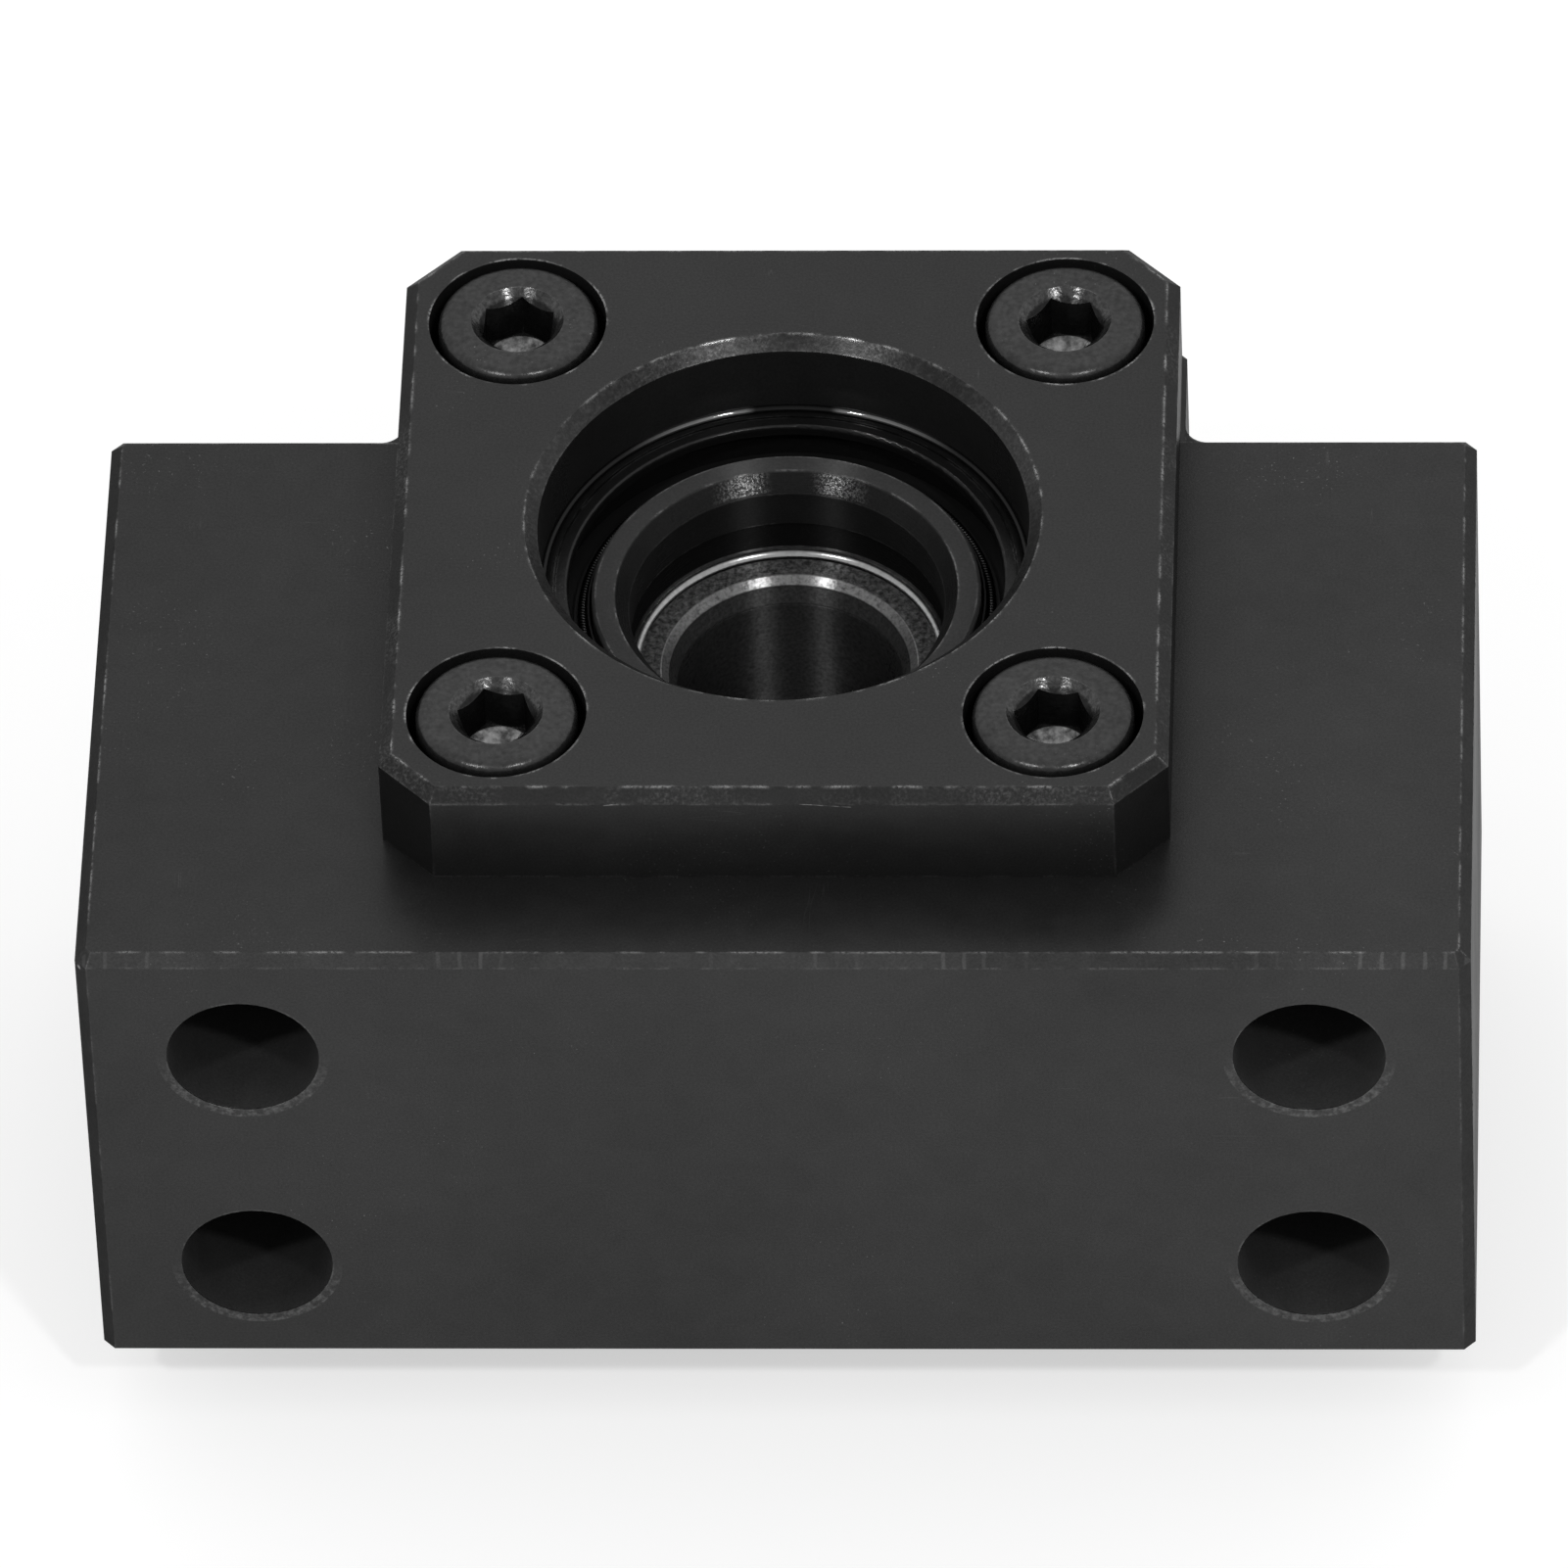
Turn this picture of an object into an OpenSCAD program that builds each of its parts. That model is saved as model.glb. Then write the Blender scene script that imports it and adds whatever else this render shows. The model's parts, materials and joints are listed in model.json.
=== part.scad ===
// Fixed-side end support for a ball screw: a bearing block with a bolted cover,
// two angular contact bearings, two collars and two lip seals.
// Origin: on the shaft axis, at the housing's back face.
// +Z runs along the shaft to the cover, +X across the base, -Y down to the mounting face.

/* [Housing] */
// Width across the base
housing_w = 60; // [58:0.5:66]
// Length along the shaft
housing_l = 25; // [24:0.5:30]
// Height of the shaft axis above the base
axis_h = 22; // [21:0.5:24]
// Height of the two shoulders above the base
shoulder_h = 32; // [28:0.5:34]
// How far the hump stands out beyond the cover on each side
hump_lap = 0.2; // [0:0.05:0.4]
// Bevel on the hump's two upper corners
hump_corner = 1.8; // [1:0.1:2.5]
// Radius where the hump meets a shoulder
hump_fillet = 1; // [0.5:0.1:1.5]
// Bevel along the housing's outer edges
edge_bevel = 0.5; // [0.3:0.05:0.55]
// Bevel at the mouths of the housing's bores
seat_bevel = 0.3; // [0.1:0.05:0.4]

/* [Mounting holes] */
// Distance between the holes across the base
mount_span = 46; // [45.5:0.5:48]
// Distance from each end face of the housing to the nearest holes
mount_inset = 6; // [6:0.5:7]
// Diameter of the holes
mount_d = 6.6; // [4.5:0.1:7]
// Diameter of the counterbores for the bolt heads
counterbore_d = 10.8; // [9.5:0.1:11]
// Depth of the counterbores below the shoulders
counterbore_depth = 5; // [3:0.5:8]

/* [Cover] */
// Thickness of the cover's plate
cover_t = 5; // [5:0.1:7]
// Bevel on the cover's four corners
cover_corner = 2.3; // [1:0.1:3]
// Bevel round the cover's outer face
cover_bevel = 0.55; // [0.3:0.05:0.8]
// Metal between a screw's counterbore and the cover's edge
cover_margin = 1.1; // [0.8:0.1:2]
// Bevel at the mouth of the cover's bore
mouth_bevel = 0.55; // [0.2:0.05:0.8]

/* [Cover screws] */
// Metal between the bearings' seat and a screw
screw_wall = 1.97; // [1.5:0.01:2.5]
// Diameter of the thread, drawn plain
screw_d = 4; // [3:0.5:4]
// Length below the head
screw_l = 12; // [8:1:14]
// Diameter of the head
head_d = 7; // [6:0.1:7.2]
// Height of the head
head_h = 4; // [3:0.1:4]
// How far the head's top stands out of the cover's face
head_rise = 0.15; // [0:0.05:0.3]
// Radius on the head's upper edge
head_round = 0.5; // [0.2:0.05:0.6]
// Clearance round a head in its counterbore
head_gap = 0.4; // [0.2:0.05:0.5]
// Hexagon across flats
socket_w = 3; // [2.5:0.1:3.2]
// Depth of the hexagon
socket_depth = 2.5; // [1.5:0.1:2.6]
// How far the countersink at its mouth reaches beyond its corners
socket_bevel = 0.3; // [0.1:0.05:0.4]

/* [Bearings] */
// Outer diameter
bearing_d = 26; // [25:0.5:26.5]
// Width of one bearing
bearing_w = 8; // [7:0.5:8]
// Diameter of a ball
ball_d = 4.76; // [4:0.01:5]
// Diameter of the circle through the balls' centres
ball_circle_d = 18; // [17.6:0.1:18.4]
// Balls in one bearing
ball_count = 9; // [7:1:9]
// Clearance between a ball and its grooves
ball_gap = 0.07; // [0.03:0.01:0.1]
// Depth of the ball grooves
groove_depth = 0.7; // [0.5:0.05:0.9]
// How much lower the open shoulder of each ring is
shoulder_relief = 0.4; // [0.2:0.05:0.45]
// Bevel on the outer corners of the outer rings
ring_bevel = 0.3; // [0.1:0.05:0.5]
// Bevel at the ends of the inner rings' bores
ring_bore_bevel = 0.05; // [0.05:0.05:0.4]
// Width of a cage
cage_w = 6.6; // [6.2:0.1:6.8]
// Radial thickness of a cage
cage_t = 1.5; // [1.4:0.1:2.1]
// How far the middle of a cage's wall lies outside the ball circle
cage_shift = 0.1; // [0.1:0.05:0.4]
// Clearance between a ball and its pocket
pocket_gap = 0.12; // [0.05:0.01:0.2]

/* [Collars] */
// Diameter of the shaft bore
bore_d = 10; // [9:0.5:10.5]
// Outer diameter of both collars
collar_d = 17; // [16.4:0.1:17.4]
// Depth of the front collar's end below the cover's face
collar_recess = 4.7; // [4.4:0.1:5.6]
// Length of the rear collar outside the housing
collar_out = 4; // [2:0.5:6]
// Wall of the front collar round its stepped bore
step_wall = 1.6; // [1.2:0.1:2]
// Thickness of the front collar behind the step
step_web = 1.2; // [0.8:0.1:2]
// Width of the bevel at the mouth of the stepped bore
step_mouth = 0.6; // [0.3:0.05:0.9]
// Length of that bevel along the shaft
step_mouth_l = 0.9; // [0.5:0.1:1.4]
// Radius in the corner of the stepped bore
step_round = 0.35; // [0.1:0.05:0.5]
// How much wider the foot of the stepped bore is relieved, on the radius
foot_relief = 0.1; // [0.05:0.05:0.2]
// Length of that relief
foot_relief_l = 1.9; // [1:0.1:2.5]
// Bevel where the step meets the shaft bore
lead_bevel = 0.3; // [0.1:0.05:0.4]
// Width of the taper that leads on into the shaft bore
lead_taper = 0.3; // [0.1:0.05:0.5]
// Plain shaft bore left between that taper and the bearing
lead_land = 0.1; // [0.05:0.05:0.3]
// Bevel at the outer end of the rear collar's shaft bore
bore_bevel = 0.3; // [0.2:0.05:0.6]
// Bevel on the collars' outer corners
collar_bevel = 0.15; // [0.1:0.05:0.4]

/* [Seals] */
// Depth of the front seal's face below the cover's face
seal_recess = 4; // [3.8:0.1:4.4]
// Depth of the rear seal's face inside the rear wall
rear_seal_recess = 0.4; // [0.2:0.1:0.5]
// Width of one seal
seal_w = 3; // [2.8:0.1:3.4]
// Space between a seal and what is behind it
seal_space = 0.1; // [0.1:0.1:0.5]
// How far a seal reaches out from its collar
seal_t = 2.2; // [2:0.1:2.6]
// Ledge behind the front seal
seal_ledge = 1.2; // [0.8:0.1:1.5]
// Thickness of the case's sheet
case_t = 0.5; // [0.4:0.05:0.6]
// Radius on the case's outer corner
case_round = 0.4; // [0.2:0.05:0.6]
// Open space between the collar and the case's rim
rim_gap = 1; // [0.9:0.05:1.2]
// Radius on the rim's inner edge
rim_round = 0.15; // [0.1:0.05:0.25]
// Flat width of the rim, up to the fine groove round it
rim_flat = 0.55; // [0.4:0.05:0.6]
// Width and depth of that groove
rim_groove = 0.1; // [0.05:0.05:0.15]
// Running clearance between lip and collar
lip_gap = 0.05; // [0.02:0.01:0.1]
// Thickness of the lip's rubber round its spring
lip_t = 0.15; // [0.1:0.01:0.2]
// Length of the lip in front of its spring
lip_nose = 0.5; // [0.3:0.1:0.7]
// Thickness of the rubber web that carries the lip
web_t = 0.7; // [0.4:0.1:0.9]
// Diameter of the garter spring's coil
spring_d = 0.45; // [0.4:0.05:0.5]
// Depth of the spring behind the seal's face
spring_depth = 1.8; // [1.6:0.05:1.9]

/* [Fits] */
// Clearance of a piece pressed into its seat, on the radius
press_gap = 0.01; // [0.005:0.005:0.02]
// Clearance of the cover's spigot in the housing, on the radius
spigot_gap = 0.05; // [0.02:0.01:0.1]
// Clearance of a screw in its tapped hole, on the radius
thread_gap = 0.05; // [0.02:0.01:0.1]
// Clearance of a screw in the cover's hole, on the radius
screw_gap = 0.25; // [0.1:0.05:0.4]
// Empty depth beyond the tip of each cover screw
tap_run = 2; // [1:0.5:3]

/* [Hidden] */

$fn = 96;
// Overshoot of a cutting tool past the face that it cuts
over = 1;

// Radii
bore_r = bore_d / 2;
bearing_r = bearing_d / 2;
ball_r = ball_d / 2;
ball_circle_r = ball_circle_d / 2;
groove_r = ball_r + ball_gap;
outer_shoulder_r = ball_circle_r + groove_r - groove_depth;
inner_shoulder_r = ball_circle_r - groove_r + groove_depth;
collar_r = collar_d / 2;
step_r = collar_r - step_wall;
foot_r = step_r + foot_relief;
seal_r = collar_r + seal_t;
case_r = seal_r - press_gap;
rim_r = collar_r + rim_gap;
lip_r = collar_r + lip_gap;
spring_circle_r = lip_r + lip_t + spring_d / 2;
head_bore_r = head_d / 2 + head_gap;

// The screws lie on the cover's diagonals, just outside the bearings' seat
screw_offset = (bearing_r + screw_wall + screw_d / 2) / sqrt(2);
screw_places = [for (y = [-1, 1], x = [-1, 1]) [x, y] * screw_offset];

// The cover is a square round the screws, and the hump is as high as the cover
cover_w = 2 * (screw_offset + head_bore_r + cover_margin);
hump_w = cover_w + 2 * hump_lap;

// Heights above the shaft axis
base_y = -axis_h;
shoulder_y = shoulder_h - axis_h;
top_y = cover_w / 2;

// Stations along the shaft
cover_z = housing_l + cover_t;
rear_bearing_z = rear_seal_recess + seal_w + seal_space;
mid_bearing_z = rear_bearing_z + bearing_w;
front_bearing_z = mid_bearing_z + bearing_w;
front_collar_z = cover_z - collar_recess;
step_z = front_bearing_z + step_web;
head_z = cover_z + head_rise;
front_seal_z = cover_z - seal_recess;
rear_seal_z = rear_seal_recess;

// How far each screw's hexagon has come to rest round its own axis: lower left, lower right,
// upper left, upper right
screw_turns = [50, 53, 26, 52];

black_oxide = [0.07, 0.07, 0.075];
bearing_steel = [0.62, 0.63, 0.65];
seal_rubber = [0.03, 0.03, 0.03];
cage_plastic = [0.75, 0.68, 0.52];

// ---- Shared shapes ----

// Upright rectangle with its upper and its lower corners cut at 45 degrees, counterclockwise
function cut_rectangle(w, y0, y1, upper, lower) = concat(
    [[-w / 2, y0 + lower], [-w / 2 + lower, y0]],
    [[w / 2 - lower, y0], [w / 2, y0 + lower]],
    [[w / 2, y1 - upper], [w / 2 - upper, y1]],
    [[-w / 2 + upper, y1], [-w / 2, y1 - upper]]
);

// Wedge that bevels the upper edge of a wall running from p to q, with the solid on its left
module edge_wedge(p, q, z, bevel) {
    run = q - p;
    translate([p.x, p.y, z])
        rotate([0, 0, atan2(run.y, run.x)])
            translate([-over, 0, 0])
                rotate([90, 0, 90])
                    linear_extrude(norm(run) + 2 * over)
                        polygon([[bevel + over, over], [-over, over], [-over, -bevel - over]]);
}

// Prism on a convex outline, with a bevel round its front face and, if both, round its back face
module beveled_prism(outline, z0, z1, bevel, both) {
    last = len(outline) - 1;
    difference() {
        translate([0, 0, z0]) linear_extrude(z1 - z0) polygon(outline);
        for (i = [0 : last]) {
            p = outline[i];
            q = outline[i == last ? 0 : i + 1];
            edge_wedge(p, q, z1, bevel);
            if (both)
                translate([0, 0, z0]) mirror([0, 0, 1]) edge_wedge(p, q, 0, bevel);
        }
    }
}

// Round hole along Z with a 45 degree bevel at its mouth, which looks along +Z
module beveled_hole(r, z0, z1, bevel) {
    rotate_extrude()
        polygon([
            [0, z0], [r, z0], [r, z1 - bevel],
            [r + bevel + over, z1 + over], [0, z1 + over]
        ]);
}

// Square-cornered ring section from radius r0 to r1 and height z0 to z1
module section(r0, r1, z0, z1) {
    translate([r0, z0]) square([r1 - r0, z1 - z0]);
}

// What is cut away to round the corner at p; towards points from the corner into the material
module round_off(p, towards, r) {
    translate(p)
        mirror([towards.x < 0 ? 1 : 0, 0])
            mirror([0, towards.y < 0 ? 1 : 0])
                difference() {
                    translate([-over, -over]) square(r + over);
                    translate([r, r]) circle(r);
                }
}

// What is cut away to bevel the corner at p at 45 degrees
module bevel_off(p, bevel) {
    translate(p) rotate(45) square(bevel * sqrt(2), center = true);
}

// ---- Housing and cover ----

module housing_body() {
    beveled_prism(cut_rectangle(housing_w, base_y, shoulder_y, edge_bevel, edge_bevel),
        0, housing_l, edge_bevel, true);
    beveled_prism(cut_rectangle(hump_w, -hump_w / 2, top_y, hump_corner, hump_corner),
        0, housing_l, edge_bevel, true);
    for (side = [0, 1])
        mirror([side, 0, 0])
            translate([hump_w / 2, shoulder_y, edge_bevel])
                linear_extrude(housing_l - 2 * edge_bevel)
                    difference() {
                        translate([-hump_fillet, -hump_fillet]) square(2 * hump_fillet);
                        translate([hump_fillet, hump_fillet]) circle(hump_fillet);
                    }
}

// Bolt hole up from the base, with its counterbore sunk from the shoulder
module mounting_hole() {
    translate([0, base_y - over, 0])
        rotate([-90, 0, 0]) cylinder(d = mount_d, h = shoulder_h + 2 * over);
    translate([0, shoulder_y - counterbore_depth, 0])
        rotate([-90, 0, 0]) cylinder(d = counterbore_d, h = counterbore_depth + over);
}

module housing() {
    color(black_oxide)
        difference() {
            housing_body();
            // seat of the bearings and of the cover's spigot
            beveled_hole(bearing_r + press_gap, rear_bearing_z, housing_l, seat_bevel);
            // seat of the rear seal, open to the back
            mirror([0, 0, 1]) beveled_hole(seal_r, -rear_bearing_z - over, 0, seat_bevel);
            for (x = [-1, 1], z = [mount_inset, housing_l - mount_inset])
                translate([x * mount_span / 2, 0, z]) mounting_hole();
            for (place = screw_places)
                translate(place)
                    beveled_hole(screw_d / 2 + thread_gap, head_z - head_h - screw_l - tap_run,
                        housing_l, seat_bevel);
        }
}

module cover() {
    color(black_oxide)
        difference() {
            union() {
                beveled_prism(
                    cut_rectangle(cover_w, -cover_w / 2, cover_w / 2, cover_corner, cover_corner),
                    housing_l, cover_z, cover_bevel, false);
                // spigot that clamps the front bearing's outer ring
                translate([0, 0, front_bearing_z])
                    cylinder(r = bearing_r - spigot_gap, h = housing_l - front_bearing_z + over);
            }
            // seat of the front seal, open to the front
            beveled_hole(seal_r, front_seal_z - seal_w, cover_z, mouth_bevel);
            translate([0, 0, front_bearing_z - over])
                cylinder(r = seal_r - seal_ledge, h = cover_z - front_bearing_z);
            for (place = screw_places)
                translate(place) {
                    translate([0, 0, housing_l - over])
                        cylinder(r = screw_d / 2 + screw_gap, h = cover_t + 2 * over);
                    translate([0, 0, head_z - head_h])
                        cylinder(r = head_bore_r, h = head_h + over);
                }
        }
}

// ---- Cover screws ----

// Cap screw with the top of its head at the origin
module cap_screw() {
    socket_r = socket_w / 2 / cos(30);
    mouth_r = socket_r + socket_bevel;
    mouth_h = mouth_r - socket_w / 2;
    point_h = socket_w / 2 * tan(30);
    difference() {
        union() {
            rotate_extrude()
                difference() {
                    section(0, head_d / 2, -head_h, 0);
                    round_off([head_d / 2, 0], [-1, -1], head_round);
                }
            translate([0, 0, -head_h - screw_l]) cylinder(d = screw_d, h = screw_l + over);
        }
        translate([0, 0, -socket_depth]) cylinder(r = socket_r, h = socket_depth + over, $fn = 6);
        // drill point below the hexagon
        translate([0, 0, -socket_depth - point_h]) cylinder(r1 = 0, r2 = socket_w / 2, h = point_h);
        // round countersink at the mouth of the hexagon
        translate([0, 0, -mouth_h])
            cylinder(r1 = socket_w / 2, r2 = mouth_r + over, h = mouth_h + over);
    }
}

module cover_screws() {
    color(black_oxide)
        for (i = [0 : len(screw_places) - 1])
            translate([screw_places[i].x, screw_places[i].y, head_z])
                rotate([0, 0, screw_turns[i]]) cap_screw();
}

// ---- Bearings ----
// Each is drawn on its own middle plane, its high outer shoulder on the +Z side.

module at_front_bearing() {
    translate([0, 0, (mid_bearing_z + front_bearing_z) / 2]) children();
}

module at_rear_bearing() {
    translate([0, 0, (rear_bearing_z + mid_bearing_z) / 2]) mirror([0, 0, 1]) children();
}

module outer_ring() {
    color(bearing_steel)
        rotate_extrude()
            difference() {
                section(outer_shoulder_r, bearing_r, -bearing_w / 2, bearing_w / 2);
                translate([ball_circle_r, 0]) circle(groove_r);
                section(outer_shoulder_r - over, outer_shoulder_r + shoulder_relief,
                    -bearing_w / 2 - over, 0);
                for (z = [-1, 1])
                    bevel_off([bearing_r, z * bearing_w / 2], ring_bevel);
            }
}

module inner_ring() {
    color(bearing_steel)
        rotate_extrude()
            difference() {
                section(bore_r, inner_shoulder_r, -bearing_w / 2, bearing_w / 2);
                translate([ball_circle_r, 0]) circle(groove_r);
                section(inner_shoulder_r - shoulder_relief, inner_shoulder_r + over,
                    0, bearing_w / 2 + over);
                for (z = [-1, 1])
                    bevel_off([bore_r, z * bearing_w / 2], ring_bore_bevel);
            }
}

// Places its children at every ball, with +X looking outwards
module at_balls() {
    for (i = [0 : ball_count - 1])
        rotate([0, 0, i * 360 / ball_count])
            translate([ball_circle_r, 0, 0]) children();
}

module balls() {
    color(bearing_steel) at_balls() sphere(r = ball_r);
}

module cage() {
    middle_r = ball_circle_r + cage_shift;
    color(cage_plastic)
        difference() {
            rotate_extrude()
                section(middle_r - cage_t / 2, middle_r + cage_t / 2, -cage_w / 2, cage_w / 2);
            at_balls()
                rotate([0, 90, 0]) cylinder(r = ball_r + pocket_gap, h = 3 * cage_t, center = true);
        }
}

// ---- Collars ----

module front_collar() {
    color(black_oxide)
        rotate_extrude()
            difference() {
                section(bore_r, collar_r, front_bearing_z, front_collar_z);
                // stepped bore with its relieved foot, rounded corner and beveled mouth
                section(0, step_r, step_z, front_collar_z + over);
                difference() {
                    section(0, foot_r, step_z, step_z + foot_relief_l);
                    round_off([foot_r, step_z], [-1, 1], step_round);
                }
                polygon([
                    [step_r - over, front_collar_z - step_mouth_l],
                    [step_r, front_collar_z - step_mouth_l],
                    [step_r + step_mouth, front_collar_z],
                    [step_r + step_mouth, front_collar_z + over],
                    [step_r - over, front_collar_z + over]
                ]);
                // way into the shaft bore, a bevel and then a taper
                polygon([
                    [bore_r - over, front_bearing_z + lead_land],
                    [bore_r, front_bearing_z + lead_land],
                    [bore_r + lead_taper, step_z - lead_bevel],
                    [bore_r + lead_taper + lead_bevel, step_z],
                    [bore_r + lead_taper + lead_bevel, step_z + over],
                    [bore_r - over, step_z + over]
                ]);
                bevel_off([collar_r, front_collar_z], collar_bevel);
            }
}

module rear_collar() {
    color(black_oxide)
        rotate_extrude()
            difference() {
                section(bore_r, collar_r, -collar_out, rear_bearing_z);
                bevel_off([collar_r, -collar_out], collar_bevel);
                bevel_off([bore_r, -collar_out], bore_bevel);
            }
}

// ---- Seals ----
// Each is drawn with its outside face at the origin, looking along +Z.

module at_front_seal() {
    translate([0, 0, front_seal_z]) children();
}

module at_rear_seal() {
    translate([0, 0, rear_seal_z]) mirror([0, 0, 1]) children();
}

// Pressed sheet case: an outer wall, and a rim across the face with a fine groove round it
module seal_case() {
    line_r = rim_r + rim_flat;
    color(black_oxide)
        rotate_extrude()
            difference() {
                union() {
                    section(case_r - case_t, case_r, -seal_w, 0);
                    section(rim_r, case_r, -case_t, 0);
                }
                round_off([case_r, 0], [-1, -1], case_round);
                round_off([rim_r, 0], [1, -1], rim_round);
                section(line_r, line_r + rim_groove, -rim_groove, over);
            }
}

// Rubber web across the back of the case, and the lip that runs forward along the collar.
// The lip comes nearest the collar under its spring, which lies in a groove behind the nose.
module seal_lip() {
    web_r = case_r - case_t;
    web_z = -seal_w + web_t;
    crest_r = lip_r + lip_t;
    nose_z = -spring_depth + lip_nose;
    bead_r = spring_circle_r + spring_d / 2 + lip_t;
    bead_z = -spring_depth - lip_t;
    color(seal_rubber)
        rotate_extrude()
            difference() {
                polygon([
                    [web_r, -seal_w], [spring_circle_r, -seal_w], [lip_r, -spring_depth],
                    [lip_r + lip_t / 2, nose_z], [crest_r, nose_z], [crest_r, bead_z],
                    [bead_r, bead_z], [bead_r, web_z], [web_r, web_z]
                ]);
                translate([spring_circle_r, -spring_depth]) circle(spring_d / 2 + press_gap);
            }
}

module garter_spring() {
    color(bearing_steel)
        rotate_extrude() translate([spring_circle_r, -spring_depth]) circle(spring_d / 2);
}

// ---- Nodes ----

housing();
cover();
cover_screws();
at_front_bearing() outer_ring();  // front_outer_ring
at_front_bearing() inner_ring();  // front_inner_ring
at_front_bearing() balls();  // front_balls
at_front_bearing() cage();  // front_cage
at_rear_bearing() outer_ring();  // rear_outer_ring
at_rear_bearing() inner_ring();  // rear_inner_ring
at_rear_bearing() balls();  // rear_balls
at_rear_bearing() cage();  // rear_cage
front_collar();
rear_collar();
at_front_seal() seal_case();  // front_seal_case
at_front_seal() seal_lip();  // front_seal_lip
at_front_seal() garter_spring();  // front_garter_spring
at_rear_seal() seal_case();  // rear_seal_case
at_rear_seal() seal_lip();  // rear_seal_lip
at_rear_seal() garter_spring();  // rear_garter_spring
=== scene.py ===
import json
from math import atan2, cos, pi, radians, sin

import bmesh
import bpy
from mathutils import Matrix, Vector

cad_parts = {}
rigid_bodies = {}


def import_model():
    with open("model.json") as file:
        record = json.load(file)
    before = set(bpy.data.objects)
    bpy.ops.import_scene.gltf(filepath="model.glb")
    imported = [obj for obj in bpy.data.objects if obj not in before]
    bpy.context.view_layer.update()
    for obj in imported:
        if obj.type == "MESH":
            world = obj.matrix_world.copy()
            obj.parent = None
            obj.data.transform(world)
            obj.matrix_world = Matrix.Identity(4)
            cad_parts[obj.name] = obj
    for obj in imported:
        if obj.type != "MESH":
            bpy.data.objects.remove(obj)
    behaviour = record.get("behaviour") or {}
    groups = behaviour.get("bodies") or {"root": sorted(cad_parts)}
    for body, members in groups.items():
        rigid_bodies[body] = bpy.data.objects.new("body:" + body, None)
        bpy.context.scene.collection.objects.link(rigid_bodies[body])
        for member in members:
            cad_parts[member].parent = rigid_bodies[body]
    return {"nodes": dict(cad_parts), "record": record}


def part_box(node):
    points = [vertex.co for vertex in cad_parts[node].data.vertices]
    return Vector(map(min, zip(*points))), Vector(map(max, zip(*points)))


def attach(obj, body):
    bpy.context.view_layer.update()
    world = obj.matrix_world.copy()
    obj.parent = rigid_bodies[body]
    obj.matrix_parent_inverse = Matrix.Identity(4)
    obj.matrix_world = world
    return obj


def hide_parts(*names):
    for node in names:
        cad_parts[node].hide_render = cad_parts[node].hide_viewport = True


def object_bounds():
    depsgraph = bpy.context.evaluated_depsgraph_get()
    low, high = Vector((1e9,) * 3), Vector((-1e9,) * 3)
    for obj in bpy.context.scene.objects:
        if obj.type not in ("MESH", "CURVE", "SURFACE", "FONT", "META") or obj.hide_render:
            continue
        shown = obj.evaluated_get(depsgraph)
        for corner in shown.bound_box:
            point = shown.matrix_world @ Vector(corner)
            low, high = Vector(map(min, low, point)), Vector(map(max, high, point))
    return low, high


for thing in list(bpy.data.objects):
    bpy.data.objects.remove(thing)

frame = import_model()
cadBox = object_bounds()
nodes = frame["nodes"]
mm = 0.001
print("frame loaded,", len(nodes), "pieces")


# helpers for node trees; a place is a column and a row in the node editor

def addNode(tree, kind, place, **settings):
    node = tree.nodes.new(kind)
    node.location = (place[0] * 200, place[1] * -180)
    for key, value in settings.items():
        setattr(node, key, value)
    return node


def feed(tree, socket, value):
    # a socket is linked to another node's output or holds a plain value
    if hasattr(value, "is_output"):
        tree.links.new(value, socket)
    else:
        socket.default_value = value


def mathNode(tree, operation, place, first, second=None, clamp=False):
    node = addNode(tree, "ShaderNodeMath", place, operation=operation, use_clamp=clamp)
    feed(tree, node.inputs[0], first)
    if second is not None:
        feed(tree, node.inputs[1], second)
    return node.outputs[0]


def vectorNode(tree, operation, place, first, second):
    node = addNode(tree, "ShaderNodeVectorMath", place, operation=operation)
    feed(tree, node.inputs[0], first)
    feed(tree, node.inputs["Scale" if operation == "SCALE" else 1], second)
    return node.outputs["Value" if operation in ("DOT_PRODUCT", "DISTANCE") else "Vector"]


def mapRange(tree, place, value, low, high, toLow=0.0, toHigh=1.0, smooth=True):
    node = addNode(tree, "ShaderNodeMapRange", place)
    node.interpolation_type = "SMOOTHSTEP" if smooth else "LINEAR"
    ends = {"Value": value, "From Min": low, "From Max": high, "To Min": toLow, "To Max": toHigh}
    for label, end in ends.items():
        feed(tree, node.inputs[label], end)
    return node.outputs["Result"]


def mixColor(tree, place, share, first, second, blend="MIX"):
    node = addNode(tree, "ShaderNodeMix", place, data_type="RGBA", blend_type=blend)
    for slot, value in ((0, share), (6, first), (7, second)):  # 6 and 7 are the node's two colours
        feed(tree, node.inputs[slot], value)
    return node.outputs[2]


def noiseNode(tree, place, vector, scale, **settings):
    node = addNode(tree, "ShaderNodeTexNoise", place)
    feed(tree, node.inputs["Vector"], vector)
    feed(tree, node.inputs["Scale"], scale)
    for label, value in settings.items():
        node.inputs[label].default_value = value
    return node.outputs["Fac"]


def objectPlace(tree, place):
    return addNode(tree, "ShaderNodeTexCoord", place).outputs["Object"]


def splitVector(tree, place, vector):
    node = addNode(tree, "ShaderNodeSeparateXYZ", place)
    tree.links.new(vector, node.inputs[0])
    return node.outputs


def faceNormal(tree, place):
    return addNode(tree, "ShaderNodeNewGeometry", place).outputs["Normal"]


def swingAboutOne(tree, place, value, depth):
    # noise swings about a half; this makes it a factor that swings about one
    swing = mathNode(tree, "SUBTRACT", place, value, 0.5)
    scaled = mathNode(tree, "MULTIPLY", (place[0] + 1, place[1]), swing, depth)
    return mathNode(tree, "ADD", (place[0] + 2, place[1]), scaled, 1.0)


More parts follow.
